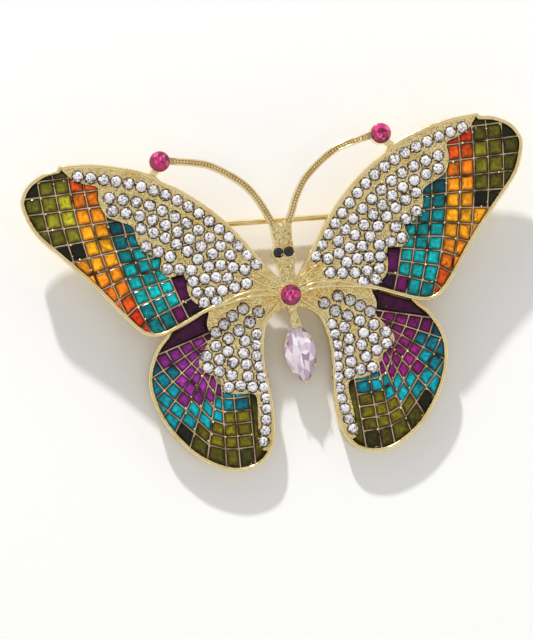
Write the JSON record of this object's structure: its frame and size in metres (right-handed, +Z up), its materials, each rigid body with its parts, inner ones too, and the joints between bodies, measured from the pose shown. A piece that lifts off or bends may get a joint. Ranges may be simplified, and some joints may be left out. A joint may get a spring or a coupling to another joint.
{
  "type": "brooch",
  "caption": "Butterfly brooch in gold-coloured cast metal with coloured enamel cells, pave stones, a navette tail stone and a hinged pin with a turning safety catch.",
  "frame": {"origin": "middle of the brooch's box on the table it lies on", "axes": "+X across the wings to the viewer's right, +Y to the head, +Z up out of the face"},
  "size_m": [0.0654, 0.0419, 0.0075],
  "materials": {
    "gold": "polished pale gold plate over a casting, finely stippled at the roots",
    "pin_gold": "polished pale gold plate on drawn wire",
    "clear_stone": "faceted clear crystal",
    "fuchsia_stone": "faceted fuchsia crystal",
    "black_stone": "faceted jet-black crystal",
    "pink_stone": "faceted pale lilac-pink crystal",
    "olive_enamel": "glossy translucent enamel",
    "orange_enamel": "glossy translucent enamel",
    "teal_enamel": "glossy translucent enamel",
    "purple_enamel": "glossy translucent enamel"
  },
  "bodies": {
    "brooch": {"body_casting": "gold", "upper_wing_right": "gold", "upper_wing_left": "gold", "lower_wing_right": "gold", "lower_wing_left": "gold", "upper_cells_right": "gold", "upper_cells_left": "gold", "lower_cells_right": "gold", "lower_cells_left": "gold", "upper_olive_right": "olive_enamel", "upper_olive_left": "olive_enamel", "upper_orange_right": "orange_enamel", "upper_orange_left": "orange_enamel", "upper_teal_right": "teal_enamel", "upper_teal_left": "teal_enamel", "upper_purple_right": "purple_enamel", "upper_purple_left": "purple_enamel", "lower_purple_right": "purple_enamel", "lower_purple_left": "purple_enamel", "lower_teal_right": "teal_enamel", "lower_teal_left": "teal_enamel", "lower_olive_right": "olive_enamel", "lower_olive_left": "olive_enamel", "edge_stones_right": "clear_stone", "edge_stones_left": "clear_stone", "upper_stones_right": "clear_stone", "upper_stones_left": "clear_stone", "lower_stones_right": "clear_stone", "lower_stones_left": "clear_stone", "string_stones_right": "clear_stone", "string_stones_left": "clear_stone", "antenna_right": "gold", "antenna_left": "gold", "tip_cup_right": "gold", "tip_cup_left": "gold", "tip_stone_right": "fuchsia_stone", "tip_stone_left": "fuchsia_stone", "eye_stones": "black_stone", "thorax_stone": "fuchsia_stone", "navette_cup": "gold", "navette_stone": "pink_stone", "hinge_bracket": "gold", "hinge_rivet": "pin_gold", "catch_housing": "gold"},
    "pin": {"pin_stem": "pin_gold"},
    "lock": {"lock_sleeve": "gold"}
  },
  "joints": [
    {"name": "pin_swing", "type": "hinge", "parent": "brooch", "child": "pin", "pos_m": [-0.01597, 0.01141, 0.00187], "axis": [0.0576, 0.9945, 0.087], "range_deg": [0, 100]},
    {"name": "lock_turn", "type": "hinge", "parent": "brooch", "child": "lock", "pos_m": [0.01597, 0.00958, 0.00171], "axis": [-0.9983, 0.0573, 0.005], "range_deg": [0, 100]}
  ]
}
